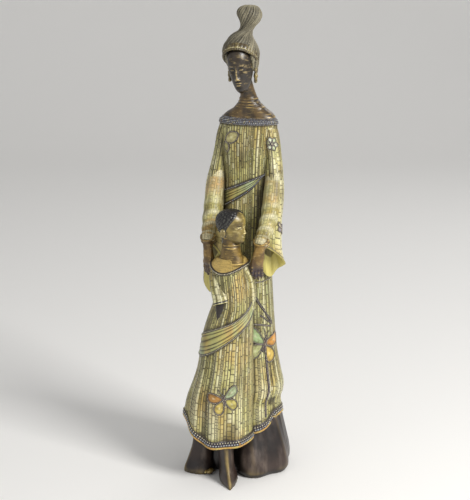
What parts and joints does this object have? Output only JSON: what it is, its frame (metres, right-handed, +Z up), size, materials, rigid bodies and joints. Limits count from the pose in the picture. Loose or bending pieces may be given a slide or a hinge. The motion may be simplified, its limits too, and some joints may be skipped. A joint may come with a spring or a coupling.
{
  "type": "resin mother and child figure",
  "caption": "Slender standing figure of a mother in a mosaic-patterned robe behind her child, cast in one piece that stands on the hem of its dark underskirt.",
  "frame": {"origin": "on the floor under the figure, in the flat underside of the dark underskirt", "axes": "+Z up along the figure, -Y the way both figures face, +X to the right as seen from the front"},
  "size_m": [0.095, 0.1183, 0.45],
  "materials": {
    "painted_resin": "hand-painted satin resin, pale yellow and olive mosaic with dark bronze skin"
  },
  "bodies": {
    "root": {"mother_and_child": "painted_resin"}
  },
  "joints": []
}
